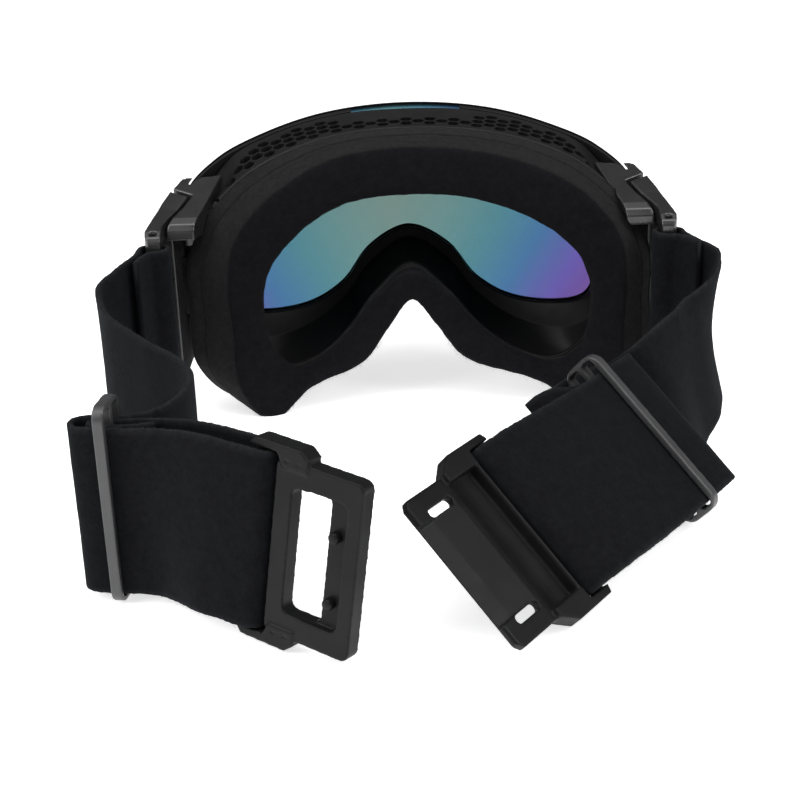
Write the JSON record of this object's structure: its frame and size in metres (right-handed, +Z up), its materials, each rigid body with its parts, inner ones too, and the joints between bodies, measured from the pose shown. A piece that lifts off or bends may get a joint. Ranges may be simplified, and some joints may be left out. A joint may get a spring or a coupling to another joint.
{
  "type": "ski goggles",
  "caption": "Frameless-look ski goggles with a curved tinted double lens held by magnets, vented frame, layered face foam, swinging strap arms and a wide strap that opens at a rear clip.",
  "frame": {"origin": "middle of the footprint, on the surface the goggles stand on", "axes": "+X to the wearer's right, +Y the way the lens faces, +Z up; the lens stands upright and the open strap lies behind it"},
  "size_m": [0.2076, 0.2384, 0.1],
  "materials": {
    "frame": "satin moulded polyurethane",
    "rim": "fine matte nylon",
    "tinted_lens": "polished, mirror-tinted",
    "clear_lens": "polished, clear",
    "spacer_foam": "closed-cell foam",
    "face_foam": "open-cell foam",
    "fleece": "brushed fleece",
    "vent_foam": "thin reticulated foam",
    "arm": "satin",
    "pin_steel": "drawn wire",
    "magnet": "nickel plated",
    "webbing": "elastic webbing with a fleecy face",
    "buckle": "satin acetal"
  },
  "bodies": {
    "goggles": {"face_frame": "frame", "foam_base": "face_foam", "foam_fleece": "fleece", "top_vent_foam": "vent_foam", "arm_pin_left": "pin_steel", "arm_pin_right": "pin_steel", "frame_magnet_left_1": "magnet", "frame_magnet_left_2": "magnet", "frame_magnet_left_3": "magnet", "frame_magnet_right_1": "magnet", "frame_magnet_right_2": "magnet", "frame_magnet_right_3": "magnet"},
    "lens": {"lens_rim": "rim", "outer_lens": "tinted_lens", "inner_lens": "clear_lens", "lens_spacer": "spacer_foam", "lens_magnet_left_1": "magnet", "lens_magnet_left_2": "magnet", "lens_magnet_left_3": "magnet", "lens_magnet_right_1": "magnet", "lens_magnet_right_2": "magnet", "lens_magnet_right_3": "magnet"},
    "half_left": {"strap_arm_left": "arm", "strap_left": "webbing"},
    "half_right": {"strap_arm_right": "arm", "strap_right": "webbing"},
    "slider_l": {"slider_left": "buckle"},
    "slider_r": {"slider_right": "buckle"},
    "clip_l": {"clip_window_left": "buckle"},
    "clip_r": {"clip_plate_right": "buckle"}
  },
  "joints": [
    {"name": "lens_release", "type": "slide", "parent": "goggles", "child": "lens", "axis": [0, 1, 0], "range_m": [0, 0.03]},
    {"name": "arm_left_swing", "type": "hinge", "parent": "goggles", "child": "half_left", "pos_m": [-0.08425, 0.06519, 0.048], "axis": [0, 0, -1], "range_deg": [0, 15]},
    {"name": "arm_right_swing", "type": "hinge", "parent": "goggles", "child": "half_right", "pos_m": [0.08095, 0.06519, 0.048], "axis": [0, 0, 1], "range_deg": [0, 15]},
    {"name": "slider_left_travel", "type": "slide", "parent": "half_left", "child": "slider_l", "axis": [0.9854, -0.1701, 0], "range_m": [-0.0015, 0.001]},
    {"name": "slider_right_travel", "type": "slide", "parent": "half_right", "child": "slider_r", "axis": [-0.6097, -0.7916, -0.041], "range_m": [-0.0015, 0.0015]},
    {"name": "clip_left_turn", "type": "hinge", "parent": "half_left", "child": "clip_l", "pos_m": [-0.04605, -0.09701, 0.0292], "axis": [0.1356, 0.0536, 0.9893], "range_deg": [-40, 50]},
    {"name": "clip_right_turn", "type": "hinge", "parent": "half_right", "child": "clip_r", "pos_m": [0.02845, -0.07981, 0.0222], "axis": [-0.6031, 0.4298, 0.672], "range_deg": [-40, 50]}
  ]
}
